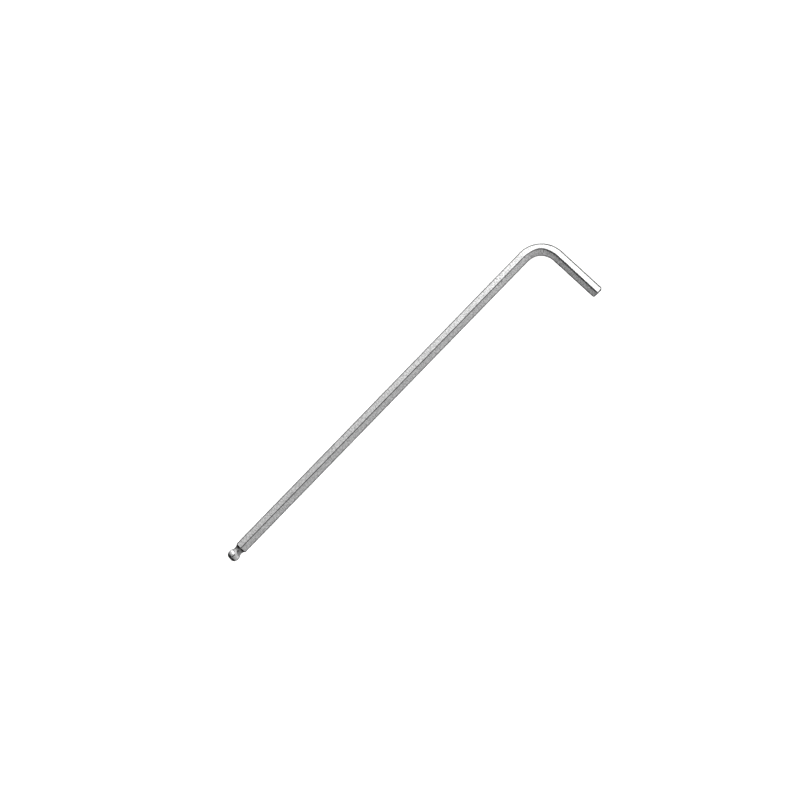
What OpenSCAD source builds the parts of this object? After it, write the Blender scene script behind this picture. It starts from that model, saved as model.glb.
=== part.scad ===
// Ball-ended hex key: one length of hexagonal steel bar with a single bend.
// The key lies flat with its bend in the XY plane and rests on its lowest corner.
// The long arm runs from the bend towards +X, the short arm from the bend towards +Y.

/* [Bar] */
// Distance between two opposite flats, which is the size of the key
across_flats = 4; // [3:0.1:6]
// How much each corner of the hexagon is turned off, measured along its radius
corner_cut = 0.075; // [0.02:0.005:0.1]

/* [Arms] */
// Length of the long arm, from the corner of the outer flats to the tip of the ball
long_length = 146; // [80:1:220]
// Length of the short arm, from the corner of the outer flats to the middle of its end
short_length = 27.4; // [22:0.1:45]
// Angle between the two arms
arm_angle = 91.7; // [90:0.1:95]
// Radius of the bend along its inner flat
bend_inner_radius = 5.9; // [3:0.1:9]

/* [Short end] */
// How far the sheared end leans, with its outer side the longer one
end_lean = 4; // [0:0.5:6]
// Width of the end's chamfer, measured across the arm from a flat
end_chamfer_width = 0.6; // [0.2:0.05:1]
// Length of the end's chamfer, measured along the arm from a flat
end_chamfer_length = 0.4; // [0.2:0.05:1]

/* [Ball] */
// Distance between two opposite curved flats at the thickest place of the ball
ball_across_flats = 3.96; // [3.7:0.01:4.2]
// How much each curved ridge between the ball's flats is turned off
ball_ridge_cut = 0.08; // [0.03:0.01:0.15]
// Distance from the ball's centre to its flat tip
ball_nose = 1.68; // [1.5:0.01:1.8]
// Diameter of the round flat on the tip
tip_flat_d = 1.8; // [1.2:0.1:2]
// Angle between the chamfer round the tip and the arm
tip_chamfer_angle = 62; // [50:1:70]

/* [Neck] */
// Distance between opposite flats at the thinnest place of the neck
neck_across_flats = 2.8; // [2.4:0.05:3]
// Radius of the hollow curve that cuts the neck's flats
neck_hollow = 1.9; // [1.6:0.05:2.5]
// How far the neck's hollow curve runs into the ball, so that they meet in an edge
neck_overlap = 0.01; // [0.005:0.005:0.05]
// Diameter to which the neck's corners are turned off
neck_turned_d = 2.94; // [2.85:0.01:3.2]
// Radius where the turned neck rises towards the shoulder
neck_turned_fillet = 0.8; // [0.6:0.05:1]

/* [Hidden] */
$fn = 96;

// The bar's hexagon, with a corner pointing up and a flat on each side of the bend
flat_radius = across_flats / 2;
sharp_radius = flat_radius / cos(30);
corner_radius = sharp_radius - corner_cut;

// The bend, placed from the point where the axes of the two arms cross
bend_radius = bend_inner_radius + flat_radius;
bend_start = bend_radius / tan(arm_angle / 2);
outer_corner = flat_radius / tan(arm_angle / 2);
long_reach = long_length - outer_corner;
short_reach = short_length - outer_corner;
short_straight = short_reach - bend_start;

// The chamfer of the short end, a cone that also cuts the corners further back
end_flat_radius = flat_radius - end_chamfer_width;
end_slope = end_chamfer_length / end_chamfer_width;
end_rise = end_flat_radius * tan(end_lean);

// The ball and the neck, placed along the long arm from the end of the bend
ball_x = long_reach - ball_nose - bend_start;
ball_radius = ball_across_flats / 2;
ball_turned_radius = ball_radius / cos(30) - ball_ridge_cut;
tip_flat_radius = tip_flat_d / 2;
neck_radius = neck_across_flats / 2;
neck_turned_radius = neck_turned_d / 2;
hollow_height = neck_radius + neck_hollow;
neck_back = sqrt(pow(ball_radius + neck_hollow - neck_overlap, 2) - pow(hollow_height, 2));
neck_x = ball_x - neck_back;

// The middle of the key's box, which becomes the origin
low_x = (short_reach - end_chamfer_length) * cos(arm_angle) - flat_radius * sin(arm_angle);
high_y = (short_reach + end_rise) * sin(arm_angle) + end_flat_radius * cos(arm_angle);
middle_x = (long_reach + low_x) / 2;
middle_y = (high_y - flat_radius) / 2;

// The sharp hexagon, with flats on its left and right
module hexagon() {
    rotate(30)
        circle(r = sharp_radius, $fn = 6);
}

// The bar's section with its corners turned off
module section() {
    intersection() {
        hexagon();
        circle(r = corner_radius);
    }
}

// Turns an outline, drawn with the arm's axis upright, into a solid along +X
module turned() {
    rotate([0, 90, 0])
        rotate_extrude()
            children();
}

// A pair of opposite flats as seen along them, from the bend to the ball
module flats_outline() {
    translate([ball_x, 0])
        circle(r = ball_radius);
    difference() {
        union() {
            polygon([[ball_x, 0], [neck_x, hollow_height], [neck_x, -hollow_height]]);
            translate([0, -flat_radius])
                square([neck_x, across_flats]);
        }
        for (side = [-1, 1])
            translate([neck_x, side * hollow_height])
                circle(r = neck_hollow);
    }
}

// The turned outline that trims the corners of the long arm, its neck and its ball
module long_envelope() {
    difference() {
        square([corner_radius, neck_x]);
        translate([neck_turned_radius + neck_turned_fillet, neck_x])
            circle(r = neck_turned_fillet);
    }
    square([neck_turned_radius, ball_x]);
    translate([0, ball_x])
        intersection() {
            circle(r = ball_turned_radius);
            polygon([
                [0, -ball_turned_radius],
                [tip_flat_radius + (ball_nose + ball_turned_radius) * tan(tip_chamfer_angle), -ball_turned_radius],
                [tip_flat_radius, ball_nose],
                [0, ball_nose]
            ]);
        }
}

// One pair of opposite flats, turned about the arm's axis
module pair_of_flats(turn) {
    rotate([turn, 0, 0])
        linear_extrude(height = 2 * across_flats, center = true)
            flats_outline();
}

// The long arm: a turned bar with three pairs of flats cut along it
module long_arm() {
    translate([bend_start, 0, 0])
        intersection() {
            turned()
                long_envelope();
            pair_of_flats(0);
            pair_of_flats(60);
            pair_of_flats(120);
        }
}

// The bend, with flats along its inside and its outside
module bend() {
    translate([bend_start, bend_radius, 0])
        rotate([0, 0, -90])
            rotate_extrude(angle = arm_angle - 180)
                translate([bend_radius, 0])
                    section();
}

// The short arm, chamfered at its end and cut off a little out of square
module short_arm() {
    rotate([0, 0, arm_angle])
        translate([bend_start, 0, 0])
            difference() {
                intersection() {
                    rotate([90, 0, 90])
                        linear_extrude(height = short_straight + across_flats)
                            hexagon();
                    turned()
                        polygon([
                            [0, 0],
                            [corner_radius, 0],
                            [corner_radius, short_straight - (corner_radius - end_flat_radius) * end_slope],
                            [0, short_straight + end_flat_radius * end_slope]
                        ]);
                }
                translate([short_straight, 0, 0])
                    rotate([0, 0, -end_lean])
                        translate([0, -2 * across_flats, -2 * across_flats])
                            cube(4 * across_flats);
            }
}

module hex_key() {
    color([0.74, 0.75, 0.77])
        translate([-middle_x, -middle_y, corner_radius]) {
            long_arm();
            bend();
            short_arm();
        }
}

hex_key();
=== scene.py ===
"""A ball-ended hex key in satin plated steel, lying on a pale floor in soft studio light.

The key is modelled in millimetres where the CAD places it, then brought to metres.
"""

import math

import bpy
from mathutils import Matrix, Vector


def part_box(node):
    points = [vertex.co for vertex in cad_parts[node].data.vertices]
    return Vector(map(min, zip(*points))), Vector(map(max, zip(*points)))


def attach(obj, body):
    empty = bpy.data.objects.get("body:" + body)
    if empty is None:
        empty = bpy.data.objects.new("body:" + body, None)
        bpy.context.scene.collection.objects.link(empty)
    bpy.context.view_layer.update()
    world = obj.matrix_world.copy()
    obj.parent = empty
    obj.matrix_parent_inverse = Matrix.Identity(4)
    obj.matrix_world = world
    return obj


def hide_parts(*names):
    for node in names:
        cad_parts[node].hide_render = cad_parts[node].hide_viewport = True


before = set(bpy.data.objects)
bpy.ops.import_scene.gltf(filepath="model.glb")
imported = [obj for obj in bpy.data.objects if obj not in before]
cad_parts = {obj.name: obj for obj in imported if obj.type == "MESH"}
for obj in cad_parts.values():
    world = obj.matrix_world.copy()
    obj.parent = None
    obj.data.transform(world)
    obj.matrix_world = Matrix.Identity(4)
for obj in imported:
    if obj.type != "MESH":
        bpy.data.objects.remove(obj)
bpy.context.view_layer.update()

MM = 0.001

# The bar, in millimetres: its corners are rounded down to the height of the CAD's turned ones
BAR_SIDES = 6
HALF_SIDE = math.pi / BAR_SIDES
FLAT_RADIUS = 2.0
SHARP_RADIUS = FLAT_RADIUS / math.cos(HALF_SIDE)
CORNER_CUT = 0.075
RIDGE_RADIUS = CORNER_CUT / (1 / math.cos(HALF_SIDE) - 1)
RIDGE_OFFSET = RIDGE_RADIUS * math.tan(HALF_SIDE)
RIDGE_STEPS = 8
TRUE_ARC = 0.5

# The arms and the bend
LONG_LENGTH = 146.0
SHORT_LENGTH = 27.4
ARM_ANGLE = math.radians(91.7)
BEND_RADIUS = 7.9
BEND_STEPS = 56
BEND_ANGLE = math.pi - ARM_ANGLE
BEND_START = BEND_RADIUS / math.tan(ARM_ANGLE / 2)
OUTER_CORNER = FLAT_RADIUS / math.tan(ARM_ANGLE / 2)
LONG_REACH = LONG_LENGTH - OUTER_CORNER
SHORT_REACH = SHORT_LENGTH - OUTER_CORNER
SHORT_STRAIGHT = SHORT_REACH - BEND_START
STRAIGHT_STEP = 4.0

# How far the upper and the lower ridge drift outwards in the bend, how quickly the drift fades
# towards the arms, and how far above or below the axis those ridges begin
RIDGE_DRIFT = 0.34
DRIFT_POWER = 4
RIDGE_LEVEL = 2.0

# The short end: its lean, and its chamfer as a cone that grows by the slope towards the bend
END_LEAN = math.radians(4)
END_SPARE = 0.5
END_FLAT_RADIUS = 1.4
END_CHAMFER_LENGTH = 0.4
END_CHAMFER_REACH = 0.8
END_SLOPE = 1.5

# The ball and the neck
BALL_RADIUS = 1.98
BALL_RIDGE_CUT = 0.08
BALL_TURNED_RADIUS = BALL_RADIUS / math.cos(HALF_SIDE) - BALL_RIDGE_CUT
BALL_NOSE = 1.68
TIP_RADIUS = 0.9
TIP_SPARE = 0.07
NECK_RADIUS = 1.4
NECK_HOLLOW = 1.9
NECK_OVERLAP = 0.01
NECK_TURNED_RADIUS = 1.47
NECK_TURNED_FILLET = 0.8
HOLLOW_HEIGHT = NECK_RADIUS + NECK_HOLLOW
NECK_BACK = math.sqrt((BALL_RADIUS + NECK_HOLLOW - NECK_OVERLAP) ** 2 - HOLLOW_HEIGHT**2)
SHOULDER_RUN = math.sqrt(NECK_HOLLOW**2 - (HOLLOW_HEIGHT - FLAT_RADIUS) ** 2)
BALL_BACK_TURN = math.asin(NECK_TURNED_RADIUS / BALL_TURNED_RADIUS)
CONE_LEAN = math.radians(28)
CONE_GAP = BALL_NOSE * math.cos(CONE_LEAN) + TIP_RADIUS * math.sin(CONE_LEAN)
BALL_FRONT_TURN = math.pi - CONE_LEAN - math.acos(CONE_GAP / BALL_TURNED_RADIUS)

# The turned cutters, and the finish of the mesh
CURVE_STEPS = 40
TURNED_SIDES = 240
CUTTER_RADIUS = 3.2
CUTTER_SPARE = 0.6
MERGE_GAP = 0.0005
CRISP_EDGE = math.radians(12)
BAR_PLACE = "bar_place"

# The plating: noise scales along, across and up in turns per millimetre, depths in millimetres
PLATE_COLOUR = (0.77, 0.77, 0.772)
PLATE_ROUGHNESS = (0.18, 0.26)
GRAIN_SPAN = (0.25, 0.75)
RIB_SCALE = (5.6, 1.2, 1.2)
RIB_DETAIL = 2
RIB_SHADE = (0.66, 1.28)
RIB_DEPTH = 0.004
FINE_SCALE = (11.0, 1.6, 1.6)
FINE_DETAIL = 3
FINE_SHADE = (0.93, 1.07)
FINE_DEPTH = 0.002
CLOUD_SCALE = (0.22, 0.5, 0.5)
CLOUD_DETAIL = 2
CLOUD_SHADE = (0.965, 1.035)

# The ridges' painted shade, standing in for the dark that they mirror: the distances from the axis
# where it begins, how much wider it is on some, its shades on the narrow ones, the wide ones and
# those on the short arm, and how much rougher all ridges are
RIDGE_BAND = (2.198, 2.226)
WIDER = 0.06
PAINTED_RIDGE_SHADE = 0.37
PAINTED_WIDE_RIDGE_SHADE = 0.4
PAINTED_SHORT_RIDGE_SHADE = 0.26
RIDGE_DULLNESS = 1.2
# Where the painted shade is wide: up to a height from the axis, and past a place along the bar. The
# lands of the ball start this far behind its centre
SIDE_LEVEL = (1.6, 1.9)
SHORT_SIDE = (-9.0, -5.0)
BALL_BACK = 1.45
# The painted shade in the hollow of the neck, by distance from its middle, and the painted shade on
# the chamfer, by distance from the short end
PAINTED_NECK_FADE = (0.6, 1.2)
PAINTED_NECK_SHADE = 0.52
END_ALONG = -BEND_ANGLE * BEND_RADIUS - SHORT_STRAIGHT
PAINTED_END_FADE = (0.35, 0.6)
PAINTED_END_SHADE = 0.25

# Places in the shared frame, in millimetres
low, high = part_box("hex_key")
AXIS_HEIGHT = (low.z + high.z) / 2 / MM
AXIS_Y = low.y / MM + FLAT_RADIUS
TIP_X = high.x / MM
CORNER_X = TIP_X - LONG_REACH
BALL_X = TIP_X - BALL_NOSE
NECK_X = BALL_X - NECK_BACK
SHOULDER_X = NECK_X - SHOULDER_RUN
BEND_X = CORNER_X + BEND_START
UP = Vector((0, 0, 1))
LONG_WAY = Vector((1, 0, 0))
LONG_ORIGIN = Vector((0, AXIS_Y, AXIS_HEIGHT))
BEND_END = Vector((BEND_X, AXIS_Y, AXIS_HEIGHT))
BEND_CENTRE = Vector((BEND_X, AXIS_Y + BEND_RADIUS, AXIS_HEIGHT))
CORNER = Vector((CORNER_X, AXIS_Y, AXIS_HEIGHT))
SHORT_WAY = Vector((math.cos(ARM_ANGLE), math.sin(ARM_ANGLE), 0))
SHORT_END = CORNER + SHORT_WAY * SHORT_REACH

# The camera, in metres: how wide it sees, and how far it leans from straight above
VIEW_WIDTH = 0.25865
VIEW_TILT = math.radians(3.2)
VIEW_ROLL = math.radians(134.2)
VIEW_TARGET = Vector((-0.00183, -0.00824, 0.00223))
VIEW_DISTANCE = 2.0

# The soft lights, in metres: name, place, what it faces, width and height, brightness
SOFTBOXES = (
    ("side softbox", (-0.60, 0.035, 0.30), (0, 0.035, 0), (1.15, 0.37), 1.4),
    ("key softbox", (-0.365, -0.56, 0.45), (-0.365, 0, 0), (0.71, 0.68), 1.22),
    ("front softbox", (0.165, -0.56, 0.43), (0.165, 0, 0), (0.37, 0.62), 0.2),
    ("fill softbox", (-0.30, 0.56, 0.43), (-0.30, 0, 0), (0.56, 0.62), 0.15),
)

# The room, as brightness by height: -1 is straight below and 1 straight above
ROOM_STOPS = ((-1, 0.6), (-0.3, 0.75), (-0.14, 0.19), (0.15, 0.19), (0.36, 0.5), (1, 0.5))
# How much of that brightness the room has, and how this share changes towards +X and +Y
ROOM_BRIGHTNESS = 0.94
ROOM_SLANT = (-0.25, 0.12)
# The dim ovals overhead and below: reach in X and Y on a unit sky, soft rim and shade
OVAL_REACH = (0.77, 0.43)
OVAL_RIM = (0.9, 1.1)
OVAL_SHADE = 0.38
# The dark doorway: the way to it, its soft sides, top and foot on a unit sky, and its shade
DOOR_WAY = (1, -0.4, 0)
DOOR_EDGE = (0.3, 0.55)
DOOR_TOP = (0.2, 0.38)
DOOR_FOOT = (-0.97, -0.75)
DOOR_SHADE = 0.03

# What the camera sees behind the floor, the sun that lights the floor, and the floor in metres
BACKDROP = 1.0
SUN_STRENGTH = 5.4
SUN_WIDTH = math.radians(40)
FLOOR_SIZE = 6.0
FLOOR_SHADE = 0.9


def deselect():
    """Leaves nothing selected, because the loaded CAD node starts out selected."""
    bpy.ops.object.select_all(action="DESELECT")


def take_up(piece):
    """Selects one piece alone and makes it the active one."""
    deselect()
    piece.select_set(True)
    bpy.context.view_layer.objects.active = piece


def start_editing(piece):
    """Opens a piece in edit mode with all of it selected."""
    take_up(piece)
    bpy.ops.object.mode_set(mode="EDIT")
    bpy.ops.mesh.select_all(action="SELECT")


def finish_editing():
    """Points all faces outwards and leaves edit mode."""
    bpy.ops.mesh.select_all(action="SELECT")
    bpy.ops.mesh.normals_make_consistent(inside=False)
    bpy.ops.object.mode_set(mode="OBJECT")


def disc(name, place, way, radius, sides):
    """Adds a filled disc square to a way, with a corner on top, and stays in edit mode."""
    deselect()
    turn = Matrix((way.cross(UP) * -1, UP, way)).transposed()
    bpy.ops.mesh.primitive_circle_add(
        vertices=sides,
        radius=radius,
        fill_type="NGON",
        location=place,
        rotation=turn.to_euler(),
    )
    piece = bpy.context.object
    piece.name = name
    bpy.ops.object.transform_apply(location=True, rotation=True, scale=True)
    bpy.ops.object.mode_set(mode="EDIT")
    bpy.ops.mesh.select_mode(type="VERT")
    bpy.ops.mesh.select_all(action="SELECT")
    return piece


def draw_out(move, grow, centre):
    """Extrudes the selected end face by a move, then grows it about a point of the axis."""
    bpy.ops.mesh.extrude_region_move(TRANSFORM_OT_translate={"value": move})
    if grow != 1:
        bpy.ops.transform.resize(value=(grow, grow, grow), center_override=centre)


def follow(start, way, stations):
    """Draws the end face out along an axis, through stations of distance and radius."""
    for (before, radius), (after, next_radius) in zip(stations, stations[1:]):
        draw_out(way * (after - before), next_radius / radius, start + way * after)


def spaced(start, end, steps):
    """Evenly spaced values from start to end, both included."""
    return [start + (end - start) * i / steps for i in range(steps + 1)]


def straight(start, end, radius):
    """Stations along a straight stretch, close enough for even faces."""
    steps = max(1, round(abs(end - start) / STRAIGHT_STEP))
    return [(x, radius) for x in spaced(start, end, steps)]


def arc(centre, height, radius, start, end):
    """Stations on a circle, by the angle from its back over its top."""
    return [
        (centre - radius * math.cos(turn), height + radius * math.sin(turn))
        for turn in spaced(start, end, CURVE_STEPS)
    ]


def angle_between(side, other, opposite):
    """The angle between two sides of a triangle, from the lengths of all three."""
    return math.acos((side**2 + other**2 - opposite**2) / (2 * side * other))


def flats_stations():
    """How far the flats lie from the axis, from the shoulder over the neck and the ball."""
    across = BALL_RADIUS + NECK_HOLLOW - NECK_OVERLAP
    lean = math.atan2(NECK_BACK, HOLLOW_HEIGHT)
    short_of = angle_between(across, NECK_HOLLOW, BALL_RADIUS)
    ahead = angle_between(across, BALL_RADIUS, NECK_HOLLOW)
    down = -math.pi / 2
    hollow_start = down + math.asin(SHOULDER_RUN / NECK_HOLLOW)
    hollow = arc(NECK_X, HOLLOW_HEIGHT, NECK_HOLLOW, hollow_start, down - lean + short_of)
    ball_end = math.acos(-(BALL_NOSE + TIP_SPARE) / BALL_RADIUS)
    ball = arc(BALL_X, 0, BALL_RADIUS, math.pi / 2 - lean - ahead, ball_end)
    return hollow[1:] + ball[1:]


def bar():
    """The six-sided bar: short arm, bend and long arm, with the flats of its neck and ball."""
    short_start = CORNER + SHORT_WAY * (SHORT_REACH + END_SPARE)
    piece = disc("key", short_start, -SHORT_WAY, SHARP_RADIUS, BAR_SIDES)
    piece.data.materials.append(bpy.data.materials.new("bar"))
    bpy.ops.mesh.bevel(
        offset=RIDGE_OFFSET, segments=RIDGE_STEPS, profile=TRUE_ARC, affect="VERTICES"
    )
    follow(short_start, -SHORT_WAY, straight(0, SHORT_STRAIGHT + END_SPARE, FLAT_RADIUS))
    bpy.ops.mesh.spin(steps=BEND_STEPS, angle=-BEND_ANGLE, center=BEND_CENTRE, axis=UP)
    long_stations = straight(BEND_X, SHOULDER_X, FLAT_RADIUS) + flats_stations()
    follow(LONG_ORIGIN, LONG_WAY, long_stations)
    finish_editing()
    return piece


def turned_cutter(name, start, way, stations):
    """A cup turned about an arm's axis, through stations of distance and radius, its floor first."""
    distance, radius = stations[0]
    cutter = disc(name, start + way * distance, way, radius, TURNED_SIDES)
    follow(start, way, stations)
    finish_editing()
    return cutter


def ball_cutter():
    """What a lathe takes off the long arm: its inside is the ball, the neck and the tip."""
    ball = arc(BALL_X, 0, BALL_TURNED_RADIUS, BALL_FRONT_TURN, BALL_BACK_TURN)
    fillet_centre = NECK_TURNED_RADIUS + NECK_TURNED_FILLET
    fillet = arc(NECK_X, fillet_centre, NECK_TURNED_FILLET, -math.pi / 2, 0)
    back = NECK_X - NECK_TURNED_FILLET
    front = TIP_X + CUTTER_SPARE
    outside = [(back, CUTTER_RADIUS), (front, CUTTER_RADIUS)]
    stations = [(TIP_X, TIP_RADIUS), *ball, *fillet, *outside]
    return turned_cutter("ball cutter", LONG_ORIGIN, LONG_WAY, stations)


def end_cutter():
    """What the chamfer takes off the short end: its inside is a cone."""
    stations = [
        (END_CHAMFER_LENGTH, END_FLAT_RADIUS - END_CHAMFER_LENGTH * END_SLOPE),
        (-END_CHAMFER_REACH, END_FLAT_RADIUS + END_CHAMFER_REACH * END_SLOPE),
        (-END_CHAMFER_REACH, CUTTER_RADIUS),
        (CUTTER_SPARE, CUTTER_RADIUS),
    ]
    return turned_cutter("end cutter", SHORT_END, SHORT_WAY, stations)


def cut_away(piece, cutter):
    """Takes a cutter's solid off a piece, marks the cut faces and removes the cutter."""
    cutter.data.materials.append(bpy.data.materials.new("cut"))
    take_up(piece)
    bpy.ops.object.modifier_add(type="BOOLEAN")
    cut = piece.modifiers[-1]
    cut.operation = "DIFFERENCE"
    cut.solver = "EXACT"
    cut.material_mode = "TRANSFER"
    cut.object = cutter
    bpy.ops.object.modifier_apply(modifier=cut.name)
    bpy.data.objects.remove(cutter)


def shear_end(piece):
    """Cuts the short arm off a little out of square, its outer side the longer one."""
    start_editing(piece)
    bpy.ops.mesh.bisect(
        plane_co=SHORT_END,
        plane_no=Matrix.Rotation(-END_LEAN, 3, "Z") @ SHORT_WAY,
        use_fill=True,
        clear_outer=True,
    )
    bpy.ops.object.mode_set(mode="OBJECT")


def bend_turn(point):
    """How far round the bend a point is, from the long arm's end of it."""
    from_bend = point - BEND_CENTRE
    return math.atan2(-from_bend.x, -from_bend.y)


def drift_ridges(piece):
    """Moves the upper and the lower ridge outwards through the bend, most in its middle."""
    for vertex in piece.data.vertices:
        turn = bend_turn(vertex.co)
        if abs(vertex.co.z - AXIS_HEIGHT) > RIDGE_LEVEL and 0 < turn < BEND_ANGLE:
            outwards = (vertex.co - BEND_CENTRE) * Vector((1, 1, 0))
            share = math.sin(math.pi * turn / BEND_ANGLE) ** DRIFT_POWER
            vertex.co += outwards.normalized() * RIDGE_DRIFT * share


def merge_points(piece):
    """Merges the points that the cuts left on top of each other."""
    start_editing(piece)
    bpy.ops.mesh.remove_doubles(threshold=MERGE_GAP)
    finish_editing()


def crisp_cuts(piece):
    """Breaks the shading where a cut face meets one of the bar's own, then drops the marks."""
    kinds = {}
    for face in piece.data.polygons:
        for edge in face.edge_keys:
            kinds.setdefault(edge, set()).add(face.material_index)
    for edge in piece.data.edges:
        edge.use_edge_sharp = len(kinds[edge.key]) > 1
    marks = list(piece.data.materials)
    piece.data.materials.clear()
    for mark in marks:
        bpy.data.materials.remove(mark)


def note_places(piece):
    """Gives each point its place on the bar as if it were straight: along, across and up."""
    unbent = piece.data.attributes.new(BAR_PLACE, "FLOAT_VECTOR", "POINT")
    for vertex, spot in zip(piece.data.vertices, unbent.data):
        from_long = vertex.co - BEND_END
        from_bend = vertex.co - BEND_CENTRE
        turn = bend_turn(vertex.co)
        if from_long.x >= 0:
            along, across = from_long.x, from_long.y
        elif turn < BEND_ANGLE:
            along = -turn * BEND_RADIUS
            across = BEND_RADIUS - from_bend.to_2d().length
        else:
            past = (vertex.co - CORNER).dot(SHORT_WAY) - BEND_START
            along = -BEND_ANGLE * BEND_RADIUS - past
            across = (vertex.co - CORNER).dot(SHORT_WAY.cross(UP))
        spot.vector = (along, across, from_long.z)


def smooth(piece):
    """Rounds the shading over the curves, and keeps the flats flat and the cut edges crisp."""
    bpy.ops.object.shade_smooth_by_angle(angle=CRISP_EDGE)
    bpy.ops.object.modifier_add(type="WEIGHTED_NORMAL")
    weigh = piece.modifiers[-1]
    weigh.keep_sharp = True
    bpy.ops.object.modifier_apply(modifier=weigh.name)


def to_metres(piece):
    """Brings a piece from millimetres to the shared frame."""
    piece.scale = (MM, MM, MM)
    bpy.ops.object.transform_apply(location=True, rotation=True, scale=True)


def joined(tree, kind, values, **settings):
    """Adds a shader node, with each input set to a value or linked from another node's output."""
    node = tree.nodes.new(kind)
    for name, value in settings.items():
        setattr(node, name, value)
    for name, value in values.items():
        if isinstance(value, bpy.types.NodeSocket):
            tree.links.new(value, node.inputs[name])
        else:
            node.inputs[name].default_value = value
    return node


def maths(tree, operation, *values):
    """The result of a maths node on one to three values."""
    inputs = dict(enumerate(values))
    return joined(tree, "ShaderNodeMath", inputs, operation=operation).outputs[0]


def vector_maths(tree, operation, inputs, output):
    """The result of a vector maths node, which is its Vector or its Value output."""
    return joined(tree, "ShaderNodeVectorMath", inputs, operation=operation).outputs[output]


def times(tree, first, second):
    """One value times another."""
    return maths(tree, "MULTIPLY", first, second)


def reached(tree, value, start, end, first, last):
    """Goes smoothly from first to last while a value goes from start to end."""
    inputs = {"Value": value, "From Min": start, "From Max": end, "To Min": first, "To Max": last}
    return joined(tree, "ShaderNodeMapRange", inputs, interpolation_type="SMOOTHSTEP").outputs[0]


def parts(tree, vector):
    """The X, Y and Z of a vector."""
    return joined(tree, "ShaderNodeSeparateXYZ", {"Vector": vector}).outputs


def grey(value):
    """A grey as an opaque colour."""
    return (value, value, value, 1)


def grain(tree, place, scale, detail):
    """Noise on the unbent bar, stretched as its scale says."""
    stretched = joined(tree, "ShaderNodeMapping", {"Vector": place, "Scale": scale})
    inputs = {"Vector": stretched.outputs[0], "Scale": 1.0, "Detail": detail}
    return joined(tree, "ShaderNodeTexNoise", inputs).outputs["Fac"]


def wide_painted_ridges(tree, place, short):
    """1 where a ridge's painted shade is wide: at the bar's sides, on its short arm and on its ball.
    """
    spot = parts(tree, place)
    ball = maths(tree, "GREATER_THAN", spot["X"], NECK_X - BEND_X)
    sides = reached(tree, maths(tree, "ABSOLUTE", spot["Z"]), *SIDE_LEVEL, 1, 0)
    return maths(tree, "MAXIMUM", maths(tree, "MAXIMUM", sides, short), ball)


def ridge_shade_and_dull_mask(tree, place, wide):
    """Where shade is painted and the plating is rougher: 1 on the bar's rounded corners and the
    ball's lands, 0 on the flats.
    """
    spot = parts(tree, place)
    ahead = maths(tree, "SUBTRACT", spot["X"], BALL_X - BEND_X)
    on_ball = maths(tree, "GREATER_THAN", ahead, -BALL_BACK)
    inputs = {"X": times(tree, ahead, on_ball), "Y": spot["Y"], "Z": spot["Z"]}
    from_middle = joined(tree, "ShaderNodeCombineXYZ", inputs).outputs[0]
    far = vector_maths(tree, "LENGTH", {0: from_middle}, "Value")
    return reached(tree, maths(tree, "MULTIPLY_ADD", wide, WIDER, far), *RIDGE_BAND, 0, 1)


def plated_steel():
    """Bright plating over drawn steel, satin, with a fine grain across the bar. Shade is painted on
    its ridges, in its neck and on the chamfer of its short end.
    """
    steel = bpy.data.materials.new("plated steel")
    steel.use_nodes = True
    tree = steel.node_tree
    surface = tree.nodes["Principled BSDF"]
    surface.inputs["Metallic"].default_value = 1.0
    place = joined(tree, "ShaderNodeAttribute", {}, attribute_name=BAR_PLACE).outputs["Vector"]
    ribs = grain(tree, place, RIB_SCALE, RIB_DETAIL)
    fine = grain(tree, place, FINE_SCALE, FINE_DETAIL)
    cloud = grain(tree, place, CLOUD_SCALE, CLOUD_DETAIL)
    along = parts(tree, place)["X"]
    short = reached(tree, along, *SHORT_SIDE, 1, 0)
    wide = wide_painted_ridges(tree, place, short)
    ridge = ridge_shade_and_dull_mask(tree, place, wide)

    shade = reached(tree, ribs, *GRAIN_SPAN, *RIB_SHADE)
    shade = times(tree, shade, reached(tree, cloud, *GRAIN_SPAN, *CLOUD_SHADE))
    shade = times(tree, shade, reached(tree, fine, *GRAIN_SPAN, *FINE_SHADE))
    # Painted shade on the ridges, standing in for the dark that they mirror, with its own depth on
    # the wide ones and on the short arm
    painted_wide_shade = reached(tree, short, 0, 1, PAINTED_WIDE_RIDGE_SHADE, PAINTED_SHORT_RIDGE_SHADE)
    painted_ridge_darkest = reached(tree, wide, 0, 1, PAINTED_RIDGE_SHADE, painted_wide_shade)
    shade = times(tree, shade, reached(tree, ridge, 0, 1, 1, painted_ridge_darkest))
    # Painted shade in the hollow of the neck
    from_neck = maths(tree, "ABSOLUTE", maths(tree, "SUBTRACT", along, NECK_X - BEND_X))
    shade = times(tree, shade, reached(tree, from_neck, *PAINTED_NECK_FADE, PAINTED_NECK_SHADE, 1))
    # Painted shade on the chamfer of the short end
    from_end = maths(tree, "SUBTRACT", along, END_ALONG)
    shade = times(tree, shade, reached(tree, from_end, *PAINTED_END_FADE, PAINTED_END_SHADE, 1))
    colour = vector_maths(tree, "SCALE", {0: PLATE_COLOUR, "Scale": shade}, "Vector")
    tree.links.new(colour, surface.inputs["Base Color"])

    rough = reached(tree, fine, *GRAIN_SPAN, *PLATE_ROUGHNESS)
    duller = reached(tree, ridge, 0, 1, 1, RIDGE_DULLNESS)
    tree.links.new(times(tree, rough, duller), surface.inputs["Roughness"])

    inputs = {"Strength": 1.0, "Distance": RIB_DEPTH * MM, "Height": ribs}
    low_ribs = joined(tree, "ShaderNodeBump", inputs).outputs[0]
    inputs = {"Strength": 1.0, "Distance": FINE_DEPTH * MM, "Height": fine, "Normal": low_ribs}
    both = joined(tree, "ShaderNodeBump", inputs).outputs[0]
    tree.links.new(both, surface.inputs["Normal"])
    return steel


def lamp(name, kind):
    """Adds a light of the given kind and returns its object."""
    light = bpy.data.lights.new(name, kind)
    body = bpy.data.objects.new(name, light)
    bpy.context.collection.objects.link(body)
    return body


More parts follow.
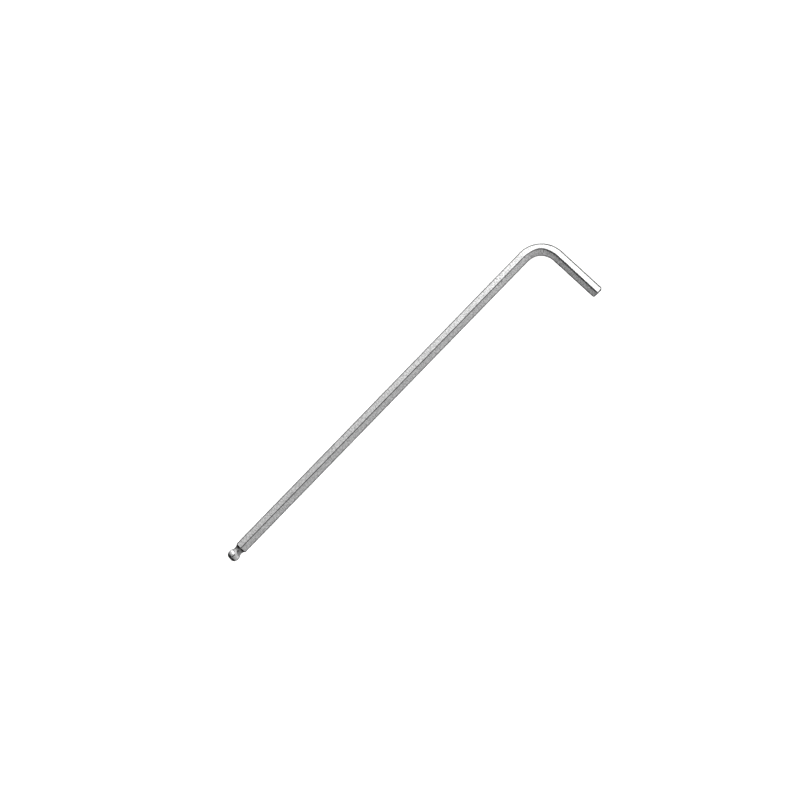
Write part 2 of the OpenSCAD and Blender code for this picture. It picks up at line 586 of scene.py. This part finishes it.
def softbox(name, place, aim, size, brightness):
    """A rectangular soft light that faces a point, its brightness given as a mirror shows it."""
    box = lamp(name, "AREA")
    box.location = place
    box.rotation_euler = (Vector(aim) - Vector(place)).to_track_quat("-Z", "Y").to_euler()
    box.visible_camera = False
    box.data.shape = "RECTANGLE"
    box.data.size, box.data.size_y = size
    box.data.energy = brightness * math.pi * size[0] * size[1]


def overhead_sun():
    """A wide sun straight above that lights the floor and isn't mirrored in the steel."""
    sun = lamp("overhead", "SUN")
    sun.visible_glossy = False
    sun.data.energy = SUN_STRENGTH
    sun.data.angle = SUN_WIDTH


def by_height(tree, height):
    """The brightness of the room's walls, floor and ceiling by height."""
    up = joined(tree, "ShaderNodeMapRange", {"Value": height, "From Min": -1.0}).outputs[0]
    ramp = joined(tree, "ShaderNodeValToRGB", {"Fac": up})
    stops = ramp.color_ramp.elements
    while len(stops) > 1:
        stops.remove(stops[-1])
    for i, (level, brightness) in enumerate(ROOM_STOPS):
        position = (level + 1) / 2
        stop = stops.new(position) if i else stops[0]
        stop.position = position
        stop.color = grey(brightness)
    return ramp.outputs["Color"]


def ovals(tree, way):
    """The shade of the dim ovals overhead and below, and 1 outside them."""
    inputs = {0: way, 1: (1 / OVAL_REACH[0], 1 / OVAL_REACH[1], 0)}
    flat = vector_maths(tree, "MULTIPLY", inputs, "Vector")
    far = vector_maths(tree, "LENGTH", {0: flat}, "Value")
    return reached(tree, far, *OVAL_RIM, OVAL_SHADE, 1)


def doorway(tree, way, height):
    """The shade of the dark doorway, and 1 outside it."""
    aside = vector_maths(tree, "DOT_PRODUCT", {0: way, 1: DOOR_WAY}, "Value")
    above_foot = reached(tree, height, *DOOR_FOOT, 0, 1)
    below_top = reached(tree, height, *DOOR_TOP, 1, 0)
    open_at = times(tree, above_foot, below_top)
    open_at = times(tree, open_at, reached(tree, aside, *DOOR_EDGE, 0, 1))
    return reached(tree, open_at, 0, 1, 1, DOOR_SHADE)


def room():
    """Soft light from a pale room, dimmer overhead and level with the floor, with a dark doorway."""
    world = bpy.data.worlds.new("room")
    bpy.context.scene.world = world
    world.use_nodes = True
    tree = world.node_tree
    way = joined(tree, "ShaderNodeTexCoord", {}).outputs["Generated"]
    height = parts(tree, way)["Z"]
    slant = vector_maths(tree, "DOT_PRODUCT", {0: way, 1: (*ROOM_SLANT, 0)}, "Value")
    share = maths(tree, "ADD", slant, ROOM_BRIGHTNESS)
    share = times(tree, share, ovals(tree, way))
    share = times(tree, share, doorway(tree, way, height))
    for_steel = tree.nodes["Background"]
    tree.links.new(by_height(tree, height), for_steel.inputs["Color"])
    tree.links.new(share, for_steel.inputs["Strength"])
    for_camera = joined(tree, "ShaderNodeBackground", {"Color": grey(BACKDROP)})
    seen = joined(tree, "ShaderNodeLightPath", {}).outputs["Is Camera Ray"]
    inputs = {0: seen, 1: for_steel.outputs[0], 2: for_camera.outputs[0]}
    either = joined(tree, "ShaderNodeMixShader", inputs)
    tree.links.new(either.outputs[0], tree.nodes["World Output"].inputs["Surface"])


def floor():
    """A plain pale floor that the key lies on."""
    deselect()
    bpy.ops.mesh.primitive_plane_add(size=FLOOR_SIZE, location=(0, 0, 0))
    piece = bpy.context.object
    piece.name = "floor"
    pale = bpy.data.materials.new("pale floor")
    pale.use_nodes = True
    surface = pale.node_tree.nodes["Principled BSDF"]
    surface.inputs["Base Color"].default_value = grey(FLOOR_SHADE)
    surface.inputs["Roughness"].default_value = 1
    surface.inputs["Specular IOR Level"].default_value = 0
    piece.data.materials.append(pale)
    piece.visible_glossy = False


def camera():
    """Looks down on the key as the photo does, with no visible perspective."""
    lens = bpy.data.cameras.new("camera")
    lens.type = "ORTHO"
    lens.ortho_scale = VIEW_WIDTH
    body = bpy.data.objects.new("camera", lens)
    bpy.context.collection.objects.link(body)
    turn = Matrix.Rotation(-VIEW_TILT, 4, "Y") @ Matrix.Rotation(VIEW_ROLL, 4, "Z")
    back = Matrix.Translation((0, 0, VIEW_DISTANCE))
    body.matrix_world = Matrix.Translation(VIEW_TARGET) @ turn @ back
    bpy.context.scene.camera = body


camera()
key = bar()
drift_ridges(key)
shear_end(key)
cut_away(key, end_cutter())
cut_away(key, ball_cutter())
merge_points(key)
crisp_cuts(key)
note_places(key)
smooth(key)
to_metres(key)
key.data.materials.append(plated_steel())
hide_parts("hex_key")
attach(key, "root")

floor()
room()
overhead_sun()
for name, place, aim, size, brightness in SOFTBOXES:
    softbox(name, place, aim, size, brightness)
bpy.context.scene.view_settings.view_transform = "Standard"
